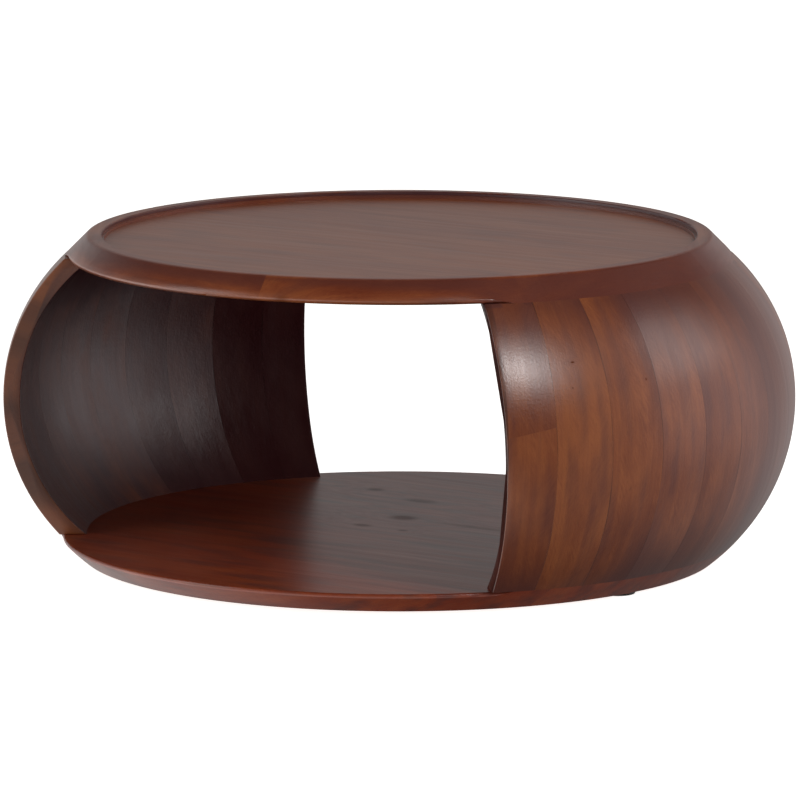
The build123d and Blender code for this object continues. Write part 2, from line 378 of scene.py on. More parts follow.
def weather(piece, wall):
    """Hollows that hand sanding left on the faces of a stave, shallower outside and none at the
    rim and the base. Each corner moves straight in or out, so that neighbouring staves stay
    together."""
    fade = 12 * MM
    outer_share = 0.3
    for vertex in piece.data.vertices:
        reach = hypot(vertex.co.x, vertex.co.y)
        level = vertex.co.z
        middle = (wall.outer.radius(level) + wall.inner.radius(min(level, wall.lip_bottom))) / 2
        push = clamp((wall.top - level) / fade)
        if reach >= middle:
            push = -outer_share * push * clamp((level - wall.foot) / fade)
        hollow = 0.5 + 0.5 * noise.noise(vertex.co / wall.sizes.unevenness_size)
        scale = 1 + push * hollow * wall.sizes.unevenness / reach
        vertex.co.x *= scale
        vertex.co.y *= scale


def ease_joints(piece, wall):
    """Eases the sharp edges, so that light and stain gather along the glue joints."""
    bevel = piece.modifiers.new("eased joints", "BEVEL")
    bevel.width = wall.sizes.joint_easing
    bevel.angle_limit = radians(50)


def write_board_space(piece, wall, span, tones, cut_shading_tone, seed):
    """Stores where each corner lies in the stave before it was bent: across it, along it and
    down from its outer face, with the distance to the nearest joint, the stave's tone there and
    its seed, and whether it lies on the inner face: more than 1 under the rim, where the spray
    did not reach it and shade is painted, as fuller inner stain and fading sheen. Wood grain
    follows these, as it follows the real stave. The tones are those at the foot, the belly and
    the top, how much paler the side at the greater angle is, and how far in degrees the faces
    were planed towards that side, half as deep outside. The cut shading tone covers the sawn end
    between both faces: painted shade on the right wall's end, painted light on the left wall's."""
    inner_skin = 0.7 * MM
    sawn_skin = 1 * MM
    sawn_reach = 9 * MM
    # Painted shade under the rim, where the spray also did not reach the inner face: it starts this
    # far below the lip and fades in over this height
    missed_and_shaded_from = 85 * MM
    missed_and_shaded_fade = 50 * MM
    mesh = piece.data
    middle = (span[0] + span[1]) / 2
    half = (span[1] - span[0]) / 2
    belly = wall.sizes.belly_radius
    belly_level = wall.sizes.belly_level
    foot_tone, belly_tone, top_tone, paler_side, planed = tones
    places, joint, tone, inside, form = [], [], [], [], []
    for vertex in mesh.vertices:
        x, y, z = vertex.co
        level = clamp(z, wall.foot, wall.lip_bottom)
        around = atan2(y * cos(middle) - x * sin(middle), x * cos(middle) + y * sin(middle))
        depth = wall.outer.radius(level) - hypot(x, y)
        thickness = wall.outer.radius(level) - wall.inner.radius(level)
        places += (around * belly, wall.outer.climb(level), depth)
        joint.append((half - abs(around)) * belly)
        if level > belly_level:
            share_of_end = (level - belly_level) / (wall.lip_bottom - belly_level)
            end_tone = top_tone
        else:
            share_of_end = (belly_level - level) / (belly_level - wall.foot)
            end_tone = foot_tone
        paler = paler_side * around / half
        tone.append(belly_tone + (end_tone - belly_tone) * share_of_end ** 2 + paler)
        between_faces = sawn_skin < depth < thickness - sawn_skin
        near_end = abs(half - abs(around)) * belly < sawn_reach
        # Painted shade on the right wall's sawn end, painted light on the left wall's
        if cut_shading_tone is not None and between_faces and near_end:
            tone[-1] = cut_shading_tone
        is_inside = depth > thickness - inner_skin
        # Under the rim, painted shade: fuller inner stain and fading sheen, where the spray also did
        # not reach
        missed_and_shaded = clamp((level - wall.lip_bottom + missed_and_shaded_from) / missed_and_shaded_fade)
        inside.append(1 + 0.8 * missed_and_shaded if is_inside else 0.0)
        form.append(around * belly * tan(radians(planed)) * (1.0 if is_inside else -0.5))
    mesh.attributes.new("board", "FLOAT_VECTOR", "POINT").data.foreach_set("vector", places)
    stored = {"joint": joint, "tone": tone, "seed": [seed] * len(joint), "inside": inside,
              "form": form}
    for name, values in stored.items():
        mesh.attributes.new(name, "FLOAT", "POINT").data.foreach_set("value", values)


# Materials

MATH = "ShaderNodeMath"
VECTOR_MATH = "ShaderNodeVectorMath"
RANGE = "ShaderNodeMapRange"
MIX = "ShaderNodeMix"
NOISE = "ShaderNodeTexNoise"
MAPPING = "ShaderNodeMapping"
BUMP = "ShaderNodeBump"
COORDINATES = "ShaderNodeTexCoord"
ATTRIBUTE = "ShaderNodeAttribute"
SEPARATE = "ShaderNodeSeparateXYZ"
COMBINE = "ShaderNodeCombineXYZ"
SURFACE = "ShaderNodeBsdfPrincipled"
OUTPUT = "ShaderNodeOutputMaterial"
SMOOTH = {"interpolation_type": "SMOOTHSTEP"}


def add(tree, kind, inputs=None, **settings):
    """Adds a node. Settings are its own properties. Inputs are values, sockets to link or nodes,
    whose first output in use is linked. The numbered inputs of a range are its value, the two
    ends that it comes from and the two that it goes to. Those of a mix are its share (0) and
    its two colours (6 and 7)."""
    made = tree.nodes.new(kind)
    for name, value in settings.items():
        setattr(made, name, value)
    for key, value in (inputs or {}).items():
        if isinstance(value, bpy.types.Node):
            value = next(output for output in value.outputs if output.enabled)
        if isinstance(value, bpy.types.NodeSocket):
            tree.links.new(value, made.inputs[key])
        else:
            made.inputs[key].default_value = value
    return made


def rgba(colour_value):
    return (*colour_value, 1.0)


def new_material(name):
    """Material without nodes, and its tree."""
    material = bpy.data.materials.new(name)
    material.use_nodes = True
    material.node_tree.nodes.clear()
    return material, material.node_tree


def streaks(tree, place, across, along, detail=2.0, turn=0.0):
    """Streaks of wood figure, so wide across the grain and so long along it, in metres, at a
    turn from the grain."""
    lying = add(tree, MAPPING, {"Vector": place, "Rotation": (0, 0, turn)})
    cells = add(tree, MAPPING, {"Vector": lying, "Scale": (1 / across, 1 / along, 1 / across)})
    return add(tree, NOISE, {"Vector": cells, "Scale": 1.0, "Detail": detail, "Roughness": 0.55})


def knots(tree, place, spots):
    """Grain that swirls round knots, and the share of dark knot at a point. Each spot has its
    middle (across, along), half width and half length in metres and its darkness."""
    swell = 0.0
    darkness = 0.0
    for across, along, half_width, half_length, depth in spots:
        middle = (across, along, 0.0)
        offset = add(tree, VECTOR_MATH, {0: place, 1: middle}, operation="SUBTRACT")
        scale = (1 / half_width, 1 / half_length, 0.0)
        scaled = add(tree, VECTOR_MATH, {0: offset, 1: scale}, operation="MULTIPLY")
        reach = add(tree, VECTOR_MATH, {0: scaled}, operation="LENGTH")
        core = add(tree, RANGE, {0: reach, 1: 0.35, 2: 1.2, 3: depth, 4: 0.0}, **SMOOTH)
        darkness = add(tree, MATH, {0: darkness, 1: core}, operation="MAXIMUM")
        around = add(tree, RANGE, {0: reach, 1: 0.0, 2: 5.0, 3: 3 * half_width, 4: 0.0},
                     **SMOOTH)
        swell = add(tree, MATH, {0: swell, 1: around}, operation="ADD")
    pushed = add(tree, COMBINE, {"Z": swell})
    return add(tree, VECTOR_MATH, {0: place, 1: pushed}, operation="ADD"), darkness


def figure_of_wood(tree, tone, patterns, contrast, feathers, blush, feather):
    """Paleness of the figure at a point: the tone of the board, patterns with their weights, and
    feathery streaks, each of which comes in as the blush goes from one share to another."""
    half_sum = contrast * sum(weight for pattern, weight in patterns) / 2
    figure = add(tree, MATH, {0: tone, 1: 0.62, 2: 0.64 - half_sum}, operation="MULTIPLY_ADD")
    for pattern, weight in patterns:
        figure = add(tree, MATH, {0: pattern, 1: weight * contrast, 2: figure},
                     operation="MULTIPLY_ADD")
    for pattern, none_at, all_at in feathers:
        shows = add(tree, RANGE, {0: blush, 1: none_at, 2: all_at, 3: 0.0, 4: feather})
        centred = add(tree, MATH, {0: pattern, 1: 0.5}, operation="SUBTRACT")
        figure = add(tree, MATH, {0: centred, 1: shows, 2: figure}, operation="MULTIPLY_ADD")
    return figure


def stained_wood(name, finish, place_wood, spots=(), redness=0.0, feather=0.5, banding=0.45,
                 contrast=1.0, plum=0.8):
    """Mango wood, planed, sanded, stained dark and sprayed with satin lacquer. It gives the eye
    a warm red-brown with soft bands along the grain, feathery streaks across it, short dark
    pores, patches where the stain took unevenly and a fine orange peel in the lacquer.

    place_wood adds the nodes that say where a point lies in its board. It returns the point
    (across, along, deep), the tone of the board, the shares of glue line and of inner face
    there, the latter also painting shade under the rim and in the rim's recess, and the height
    of the hand-planed form in metres. Redness, feather, banding, contrast and plum say how red
    the wood is, how strong its feathery streaks, its growth rings and its whole figure are, and
    how much plum the thick stain has."""
    material, tree = new_material(name)
    place, tone, glue_line, inside, form = place_wood(tree)
    place, knot = knots(tree, place, spots)

    # The grain wanders by some millimetres
    drift = add(tree, NOISE, {
        "Vector": add(tree, MAPPING, {"Vector": place, "Scale": (11.0, 3.5, 11.0)}),
        "Scale": 1.0, "Detail": 1.0})
    drift = add(tree, VECTOR_MATH, {0: drift.outputs["Color"], 1: (0.016, 0.0, 0.016)},
                operation="MULTIPLY")
    wavy = add(tree, VECTOR_MATH, {0: place, 1: drift}, operation="ADD")
    bands = streaks(tree, wavy, 9 * MM, 280 * MM, detail=4.0)
    fibres = streaks(tree, wavy, 1.8 * MM, 60 * MM)
    pores = streaks(tree, wavy, 1.2 * MM, 8 * MM, detail=1.0)
    patches = streaks(tree, place, 34 * MM, 70 * MM, detail=3.0)
    blush = streaks(tree, wavy, 22 * MM, 130 * MM, detail=2.0)
    left_feather = streaks(tree, wavy, 1.7 * MM, 26 * MM, turn=0.55)
    right_feather = streaks(tree, wavy, 2.1 * MM, 20 * MM, turn=-0.4)

    patterns = ((bands, banding), (fibres, 0.2), (pores, 0.25), (patches, 0.64))
    feathers = ((left_feather, 0.48, 0.62), (right_feather, 0.50, 0.38))
    figure = figure_of_wood(tree, tone, patterns, contrast, feathers, blush, feather)

    # Stain: the colour of the figure, and coats over it
    spread = add(tree, RANGE, {0: figure, 1: 0.25, 2: 1.45}, **SMOOTH)
    shade = add(tree, "ShaderNodeValToRGB", {"Fac": spread})
    ramp = shade.color_ramp
    ramp.interpolation = "B_SPLINE"
    ramp.elements[0].color = rgba(finish.dark)
    ramp.elements[1].color = rgba(finish.light)
    ramp.elements.new(0.5).color = rgba(finish.middle)
    cast = add(tree, RANGE, {0: tone, 1: 0.35, 2: 0.0, 3: 0.0, 4: plum}, **SMOOTH)
    cast = add(tree, RANGE, {0: blush, 1: 0.42, 2: 0.75, 3: cast, 4: 0.75 * plum * contrast},
               **SMOOTH)
    pore_share = add(tree, RANGE, {0: pores, 1: 0.6, 2: 0.75, 3: 0.0, 4: 0.25})
    pale_share = add(tree, MATH, {0: tone, 1: -0.8, 2: 1.0}, operation="MULTIPLY_ADD")
    stained = add(tree, RANGE, {0: patches, 1: 0.3, 2: 0.7, 3: 0.98, 4: pale_share})
    # Inner stain on the inner faces; under the rim and in the rim's recess it is painted shade
    stained = add(tree, MATH, {0: stained, 1: inside}, operation="MULTIPLY")
    wood = shade.outputs["Color"]
    for covered, coat in ((redness, finish.red), (cast, finish.plum), (pore_share, finish.pore),
                          (knot, finish.dark), (stained, finish.inside),
                          (glue_line, finish.glue)):
        wood = add(tree, MIX, {0: covered, 6: wood, 7: rgba(coat)}, data_type="RGBA")

    # Faces: planed form, orange peel with raised fibres, and scraping marks inside
    peel = add(tree, NOISE, {"Vector": place, "Scale": 1 / (2.8 * MM), "Detail": 1.0})
    relief = add(tree, MATH, {0: peel, 1: 1.8, 2: fibres}, operation="MULTIPLY_ADD")
    planed = add(tree, BUMP, {"Strength": 1.0, "Distance": 1.0, "Height": form})
    bump = add(tree, BUMP, {
        "Strength": 0.3, "Distance": 0.2 * MM, "Height": relief, "Normal": planed})
    scraped = streaks(tree, place, 9 * MM, 14 * MM, detail=4.0)
    rough_face = add(tree, MATH, {0: scraped, 1: inside}, operation="MULTIPLY")
    bump = add(tree, BUMP, {
        "Strength": 0.25, "Distance": 1.0 * MM, "Height": rough_face, "Normal": bump})

    # Lacquer: dulled in patches inside, and thin on knots; under the rim its sheen fades, partly
    # where the spray did not reach the wood and partly as painted shade
    satin = finish.lacquer_roughness
    gloss = add(tree, RANGE, {0: bands, 1: 0.3, 2: 0.7, 3: satin + 0.03, 4: satin - 0.02})
    dulled = add(tree, RANGE, {0: patches, 1: 0.35, 2: 0.65, 3: 0.0, 4: 0.08})
    gloss = add(tree, MATH, {0: dulled, 1: inside, 2: gloss}, operation="MULTIPLY_ADD")
    # Painted shade under the rim: the sheen fades there, where the spray also did not reach the wood
    missed_and_shaded = add(tree, RANGE, {0: inside, 1: 1.0, 2: 1.8, 3: 0.5, 4: 0.06})
    sealed = add(tree, MATH, {0: knot, 1: -0.7, 2: missed_and_shaded}, operation="MULTIPLY_ADD")
    surface = add(tree, SURFACE, {
        "Base Color": wood, "Roughness": gloss, "IOR": 1.5, "Specular IOR Level": sealed,
        "Normal": bump})
    add(tree, OUTPUT, {"Surface": surface})
    return material


def wood_of_staves(tree):
    """Place in a stave, from the attributes that its modelling stored."""
    board = add(tree, ATTRIBUTE, attribute_name="board").outputs["Vector"]
    seed, tone, joint, inside, form = (
        add(tree, ATTRIBUTE, attribute_name=name).outputs["Fac"]
        for name in ("seed", "tone", "joint", "inside", "form"))
    away = add(tree, VECTOR_MATH, {0: SEED_STEP, "Scale": seed}, operation="SCALE")
    place = add(tree, VECTOR_MATH, {0: board, 1: away}, operation="ADD")
    along = add(tree, NOISE, {"Vector": place, "Scale": 16.0, "Detail": 1.0})
    gathered = add(tree, RANGE, {0: along, 1: 0.42, 2: 0.65, 3: 0.08, 4: 0.6})
    line = add(tree, RANGE, {0: joint, 1: 0.2 * MM, 2: 1.0 * MM, 3: gathered, 4: 0.0})
    return place, tone, line, inside, form


def wood_of_panel(count, radius, tone_of_panel):
    """Place in one of the boards of a round panel, which run along X."""
    width = 2 * radius / count

    def place_wood(tree):
        where = add(tree, COORDINATES).outputs["Object"]
        parts = add(tree, SEPARATE, {"Vector": where})
        rank = add(tree, MATH, {0: parts.outputs["Y"], 1: 1 / width, 2: count / 2},
                   operation="MULTIPLY_ADD")
        board = add(tree, MATH, {0: rank}, operation="FLOOR")
        spread = add(tree, "ShaderNodeTexWhiteNoise", {"W": board}, noise_dimensions="1D")
        away = add(tree, VECTOR_MATH, {0: spread.outputs["Color"], 1: (0.0, 0.0, 7.0)},
                   operation="MULTIPLY")
        lying = add(tree, COMBINE, {
            "X": parts.outputs["Y"], "Y": parts.outputs["X"], "Z": parts.outputs["Z"]})
        place = add(tree, VECTOR_MATH, {0: lying, 1: away}, operation="ADD")
        tone = add(tree, MATH, {0: spread.outputs["Value"], 1: 0.2, 2: tone_of_panel},
                   operation="MULTIPLY_ADD")
        to_joint = add(tree, MATH, {0: rank, 1: 0.5}, operation="PINGPONG")
        line = add(tree, RANGE, {
            0: to_joint, 1: 0.2 * MM / width, 2: 0.9 * MM / width, 3: 0.2, 4: 0.0})
        return place, tone, line, 0.0, 0.0

    return place_wood


def wood_of_rim_segment(turn, seed, tones, bottom, top):
    """Place in a segment of the rim, whose straight grain crosses the ring at the segment's
    middle, which lies at a turn about the table's axis. The tones are those at its first end, its
    middle and its last end. Shade is painted on the upright face of its recess as dark inner
    stain. The bevel is darker high as painted shade, and over the openings paler low, partly
    where it was rubbed thin and partly as painted light; a painted highlight runs along its
    upper arris and over the flat top. Over the openings the bevel is slightly full and turns
    round at its edge."""
    half_length = 140 * MM
    recess_radius = 337 * MM
    recess_depth = 4 * MM
    turned_height = 10 * MM
    turned_depth = 3.6 * MM
    fullness = 0.9 * MM
    # Cosines of the angles where the walls end and where the rim is well clear of them
    at_wall, clear_of_wall = 0.77, 0.70

    def place_wood(tree):
        where = add(tree, COORDINATES).outputs["Object"]
        parts = add(tree, SEPARATE, {"Vector": where})
        level = parts.outputs["Z"]
        place = add(tree, MAPPING, {
            "Vector": where, "Rotation": (0, 0, -turn), "Location": (0, 0, seed)})
        along = add(tree, SEPARATE, {"Vector": place}).outputs["Y"]
        tone = add(tree, RANGE, {0: along, 1: -half_length, 2: 0.0, 3: tones[0], 4: tones[1]})
        tone = add(tree, RANGE, {0: along, 1: 0.0, 2: half_length, 3: tone, 4: tones[2]})
        flat = add(tree, VECTOR_MATH, {0: where, 1: (1.0, 1.0, 0.0)}, operation="MULTIPLY")
        reach = add(tree, VECTOR_MATH, {0: flat}, operation="LENGTH")
        # Shade painted on the upright face of the recess, as dark inner stain
        in_recess = add(tree, RANGE, {
            0: reach, 1: recess_radius + 1.2 * MM, 2: recess_radius + 0.4 * MM})
        upright = add(tree, RANGE, {
            0: level, 1: top - recess_depth - 0.6 * MM, 2: top - recess_depth + 0.4 * MM,
            3: 0.0, 4: 0.9})
        stain = add(tree, MATH, {0: in_recess, 1: upright}, operation="MULTIPLY")

        sideways = add(tree, MATH, {0: parts.outputs["X"], 1: reach}, operation="DIVIDE")
        sideways = add(tree, MATH, {0: sideways}, operation="ABSOLUTE")
        over_opening = add(tree, RANGE, {0: sideways, 1: at_wall, 2: clear_of_wall})
        # Over the openings the bevel is paler low, partly rubbed-thin stain and partly painted light,
        # and darker high as painted shade; over the walls it is a little darker from bottom to top
        rubbed_and_lit_low = add(tree, MATH, {0: over_opening, 1: 0.5, 2: -0.1}, operation="MULTIPLY_ADD")
        painted_shade_high = add(tree, MATH, {0: over_opening, 1: -0.25, 2: -0.15},
                         operation="MULTIPLY_ADD")
        lit_and_rubbed_lift = add(tree, RANGE, {
            0: level, 1: bottom, 2: top - recess_depth, 3: rubbed_and_lit_low, 4: painted_shade_high})
        # Painted highlight along the upper arris of the bevel, which pales the flat top as well
        painted_arris_highlight = add(tree, RANGE, {0: level, 1: top - 3 * MM, 2: top, 3: 0.0, 4: 0.4})
        lit_and_rubbed_lift = add(tree, MATH, {0: lit_and_rubbed_lift, 1: painted_arris_highlight}, operation="ADD")
        tone = add(tree, MATH, {0: tone, 1: lit_and_rubbed_lift}, operation="ADD")

        rubbed = add(tree, RANGE, {
            0: level, 1: bottom, 2: bottom + turned_height, 3: 1.0, 4: 0.0})
        rubbed = add(tree, MATH, {0: rubbed, 1: 2.0}, operation="POWER")
        swell = add(tree, RANGE, {0: level, 1: bottom, 2: top, 3: -1.0, 4: 1.0})
        swell = add(tree, MATH, {0: swell, 1: swell}, operation="MULTIPLY")
        form = add(tree, MATH, {0: rubbed, 1: -turned_depth}, operation="MULTIPLY")
        form = add(tree, MATH, {0: swell, 1: -fullness, 2: form}, operation="MULTIPLY_ADD")
        form = add(tree, MATH, {0: form, 1: over_opening}, operation="MULTIPLY")
        return place, tone, 0.0, stain, form

    return place_wood


def two_tone(tree, pattern, low, high, shades, roughness, **inputs):
    """Finishes a material whose pattern turns one shade into the other between two heights and
    makes the surface rougher. Further inputs are those of the surface."""
    turned = add(tree, RANGE, {0: pattern, 1: low, 2: high})
    first, second = (rgba(linear(shade)) for shade in shades)
    shade = add(tree, MIX, {0: turned, 6: first, 7: second}, data_type="RGBA")
    gloss = add(tree, RANGE, {0: pattern, 1: 0.3, 2: 0.7, 3: roughness[0], 4: roughness[1]})
    surface = add(tree, SURFACE, {"Base Color": shade, "Roughness": gloss, **inputs})
    add(tree, OUTPUT, {"Surface": surface})


def moulded_plastic():
    """Polyethylene, injection moulded: black, softly dull, with a fine spark-eroded grain."""
    material, tree = new_material("polyethylene glide, moulded")
    where = add(tree, COORDINATES).outputs["Object"]
    grain = add(tree, NOISE, {"Vector": where, "Scale": 1 / (0.8 * MM)})
    scuffs = add(tree, NOISE, {"Vector": where, "Scale": 1 / (9 * MM)})
    bump = add(tree, BUMP, {"Strength": 0.3, "Distance": 0.1 * MM, "Height": grain})
    two_tone(tree, scuffs, 0.45, 0.7, ("#15130F", "#2B2722"), (0.42, 0.6), IOR=1.52, Normal=bump)
    return material


def zinc_plated_steel():
    """Steel wood screw, zinc plated: pale bluish metal with dull spots."""
    material, tree = new_material("steel screw, zinc plated")
    where = add(tree, COORDINATES).outputs["Object"]
    spots = add(tree, NOISE, {"Vector": where, "Scale": 1 / (1.5 * MM)})
    two_tone(tree, spots, 0.35, 0.7, ("#B9BCBD", "#8E9190"), (0.28, 0.5), Metallic=1.0)
    return material


def bare_beech():
    """Beech dowel, turned and unstained: pale pinkish tan with short brown flecks."""
    material, tree = new_material("beech dowel, turned")
    where = add(tree, COORDINATES).outputs["Object"]
    lying = add(tree, MAPPING, {"Vector": where, "Rotation": (radians(90), 0, 0)})
    flecks = streaks(tree, lying, 0.8 * MM, 5 * MM)
    two_tone(tree, flecks, 0.5, 0.75, ("#C79E72", "#94683F"), (0.55, 0.75))
    return material


def dress(node, material):
    """Gives a node of the frame its material."""
    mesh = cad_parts[node].data
    mesh.materials.clear()
    mesh.materials.append(material)


def dress_panel(panel, tone, finish, spots=(), **figure):
    """Gives the boards of the top or the base one wood, with a place in it for each of them."""
    boards = [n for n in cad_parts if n.startswith(f"{panel}_board_")]
    radius = max(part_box(n)[1].y for n in boards)
    wood = stained_wood(f"mango wood {panel}, stained and lacquered", finish,
                        wood_of_panel(len(boards), radius, tone), spots, **figure)
    for node in boards:
        dress(node, wood)


# Operators

class DRUMTABLE_OT_walls(bpy.types.Operator):
    """Models the staves of both walls, each with its own grain and tone"""

    bl_idname = "drumtable.walls"
    bl_label = "Stave walls"

    # How pale each stave took the stain at its foot, belly and top, how much paler its side at
    # the greater angle is and how far it was planed towards that side, in order round the wall.
    # The sawn ends have a tone of their own on either side: painted shade on the right wall's end,
    # painted light on the left wall's
    right_tones = (
        (0.05, 0.48, 0.45, 0.00, 0),
        (0.34, 0.69, 0.16, -0.06, 1),
        (0.08, 0.51, 0.21, -0.16, -2),
        (0.05, 0.42, 0.00, 0.06, 4),
        (0.10, 0.32, 0.10, 0.04, -1),
        (0.15, 0.24, 0.15, -0.06, 1),
        (0.08, 0.10, 0.08, 0.06, 0),
        (0.12, 0.14, 0.12, 0.00, 0),
        (0.30, 0.35, 0.30, 0.00, 0),
    )
    left_tones = (
        (0.16, 0.20, 0.16, 0.00, 0),
        (0.16, 0.22, 0.16, 0.05, -2),
        (0.15, 0.40, 0.15, 0.00, 2.5),
        (0.15, 0.36, 0.15, 0.10, 0),
        (0.45, 0.60, 0.15, 0.00, 2.5),
        (0.50, 0.58, 0.15, -0.10, 0),
        (0.40, 0.50, 0.15, 0.10, -1),
        (0.35, 0.40, 0.25, 0.00, 1),
        (0.45, 0.50, 0.40, 0.05, 0),
    )
    upper_tones = (0.14, 0.32, 0.22, 0.0, 0)
    # Tones of the sawn ends: painted shade on the right wall's, painted light on the left wall's
    right_cut_painted_shade = -0.3
    left_cut_painted_light = 0.7

    # Steps of the seed from stave to stave and from a lower length to an upper one
    seed_step = 0.37
    upper_seed_step = 0.19

    # Stave and place of small dark marks: across and along the stave from the belly's middle,
    # half width and half length in millimetres, darkness
    marks = (
        (2, -4.7, 103.0, 3.2, 1.3, 0.75),
        (2, -10.1, 74.5, 1.4, 1.0, 0.65),
        (3, 20.0, 76.0, 1.3, 2.0, 0.6),
    )

    def execute(self, context):
        wall = Wall(context.scene.drum_table_walls)
        spots = []
        for stave, across, along, half_width, half_length, depth in self.marks:
            seed = self.seed_step * stave
            spots.append((SEED_STEP[0] * seed + across * MM, SEED_STEP[1] * seed + along * MM,
                          half_width * MM, half_length * MM, depth))
        wood = stained_wood("mango wood staves, stained and lacquered",
                            context.scene.drum_table_finish, wood_of_staves, spots,
                            redness=0.1)
        joints = wall.joints()
        arcs = [end - start for start, end in zip(joints, joints[1:])]
        first = spun_stave(wall, arcs[0])
        round_cut_end(first, wall, 0.0)
        common = spun_stave(wall, arcs[1])
        last = spun_stave(wall, arcs[-1])
        round_cut_end(last, wall, arcs[-1])
        patterns = [first] + [common] * (len(arcs) - 2) + [last]
        sides = (("right", 0.0, self.right_tones, self.right_cut_painted_shade),
                 ("left", radians(180), self.left_tones, self.left_cut_painted_light))
        for side, turn, tones, cut_shading_tone in sides:
            for index, pattern in enumerate(patterns):
                node = f"{side}_stave_{index + 1}"
                seed = self.seed_step * (index + 1) + turn
                span = (turn + joints[index], turn + joints[index + 1])
                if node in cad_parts:
                    self.place(pattern, node, wall, span, tones[index], cut_shading_tone, seed, wood)
                elif node + "_upper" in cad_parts:
                    self.place(pattern, node + "_upper", wall, span, self.upper_tones, cut_shading_tone,
                               seed + self.upper_seed_step, wood, 1)
                    self.place(pattern, node + "_lower", wall, span, tones[index], cut_shading_tone,
                               seed, wood, -1)
                else:
                    raise RuntimeError(f"the frame has no node for the stave {node}")
        for pattern in (first, common, last):
            bpy.data.objects.remove(pattern)
        return {"FINISHED"}

    def place(self, pattern, node, wall, span, tones, cut_shading_tone, seed, wood, half=0):
        """Stands a copy of a stave in its place in the wall and finishes it. Half is 1 for the
        upper piece of a stave in two lengths, -1 for the lower one and 0 for a whole stave."""
        piece = copy_of(pattern, node.replace("stave", "wall_stave"))
        stand_at(piece, span[0])
        if node.startswith("right_stave_1"):
            lean_cut_end(piece, wall, span, -wall.sizes.cut_lean, wall.sizes.cut_skew)
        elif node == "left_stave_1":
            lean_cut_end(piece, wall, span, wall.sizes.far_cut_lean, 0.0)
        if half:
            turn = (span[0] + span[1]) / 2
            slant = wall.sizes.butt_slant
            radius = wall.sizes.belly_radius
            level = wall.foot + wall.sizes.butt_height
            point = (radius * cos(turn), radius * sin(turn), level)
            normal = (sin(slant) * sin(turn), -sin(slant) * cos(turn), cos(slant))
            sawn(piece, point, normal, half > 0)
        at_cut = "stave_1" in node or "stave_9" in node
        ease_joints(piece, wall)
        apply_modifiers(piece)
        write_board_space(piece, wall, span, tones, cut_shading_tone if at_cut else None, seed)
        weather(piece, wall)
        bpy.ops.object.shade_smooth_by_angle(angle=SMOOTH_ANGLE)
        piece.data.materials.append(wood)
        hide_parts(node)
        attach(piece, "root")


class DRUMTABLE_OT_rim(bpy.types.Operator):
    """Finishes the segments of the rim, each with straight grain of its own"""

    bl_idname = "drumtable.rim"
    bl_label = "Rim"

    # How pale the stain is at the first end of each segment, its middle and its last end
    tones = (
        (0.05, 0.30, 0.30),
        (0.30, 0.40, 0.35),
        (0.40, 0.45, 0.40),
        (0.40, 0.40, 0.30),
        (0.30, 0.40, 0.20),
        (0.26, 0.34, 0.32),
        (0.58, 0.34, 0.24),
        (0.24, 0.03, 0.00),
    )
    # Segment of each knot, place across and along it, half width and half length in metres,
    # and darkness
    knots = ((7, 0.3565, -0.1256, 0.006, 0.012, 0.45),)
    # Step of the seed from segment to segment
    seed_step = 0.43

    def execute(self, context):
        segments = sorted(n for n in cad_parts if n.startswith("rim_segment_"))
        for rank, (node, tones) in enumerate(zip(segments, self.tones), start=1):
            low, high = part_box(node)
            middle = (low + high) / 2
            turn = atan2(middle.y, middle.x)
            spots = [spot for segment, *spot in self.knots if segment == rank]
            wood = stained_wood(
                f"mango wood rim segment {rank}, stained and lacquered",
                context.scene.drum_table_finish,
                wood_of_rim_segment(turn, self.seed_step * rank, tones, low.z, high.z),
                spots, redness=0.25, banding=0.5, contrast=1.2, plum=0.55)
            dress(node, wood)
        return {"FINISHED"}


class DRUMTABLE_OT_top(bpy.types.Operator):
    """Finishes the boards of the top panel"""

    bl_idname = "drumtable.top"
    bl_label = "Top panel"

    def execute(self, context):
        dress_panel("top", 0.5, context.scene.drum_table_finish,
                    redness=0.2, feather=0.25, banding=0.3, contrast=0.6)
        return {"FINISHED"}


class DRUMTABLE_OT_base(bpy.types.Operator):
    """Finishes the boards of the base"""

    bl_idname = "drumtable.base"
    bl_label = "Base"

    # Knots in the top face: X, Y, half length, half width in millimetres and darkness
    knots = (
        (-172, 195, 14, 12, 0.55),
        (-85, 165, 28, 13, 0.5),
        (-40, 65, 24, 17, 0.62),
        (60, 62, 60, 8, 0.4),
        (-52, 0, 16, 10, 0.55),
        (5, 0, 8, 7, 0.5),
    )

    def execute(self, context):
        spots = [(y * MM, x * MM, half_width * MM, half_length * MM, depth)
                 for x, y, half_length, half_width, depth in self.knots]
        dress_panel("base", 0.28, context.scene.drum_table_finish, spots,
                    redness=0.52, feather=0.4, banding=0.75, contrast=1.15)
        return {"FINISHED"}


class DRUMTABLE_OT_fittings(bpy.types.Operator):
    """Finishes the dowels, the floor glides and their screws"""

    bl_idname = "drumtable.fittings"
    bl_label = "Dowels and glides"

    def execute(self, context):
        plastic = moulded_plastic()
        steel = zinc_plated_steel()
        beech = bare_beech()
        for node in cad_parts:
            if node.endswith("_dowels"):
                dress(node, beech)
            elif node == "glide_screws":
                dress(node, steel)
            elif node.startswith("glide_"):
                dress(node, plastic)
        return {"FINISHED"}


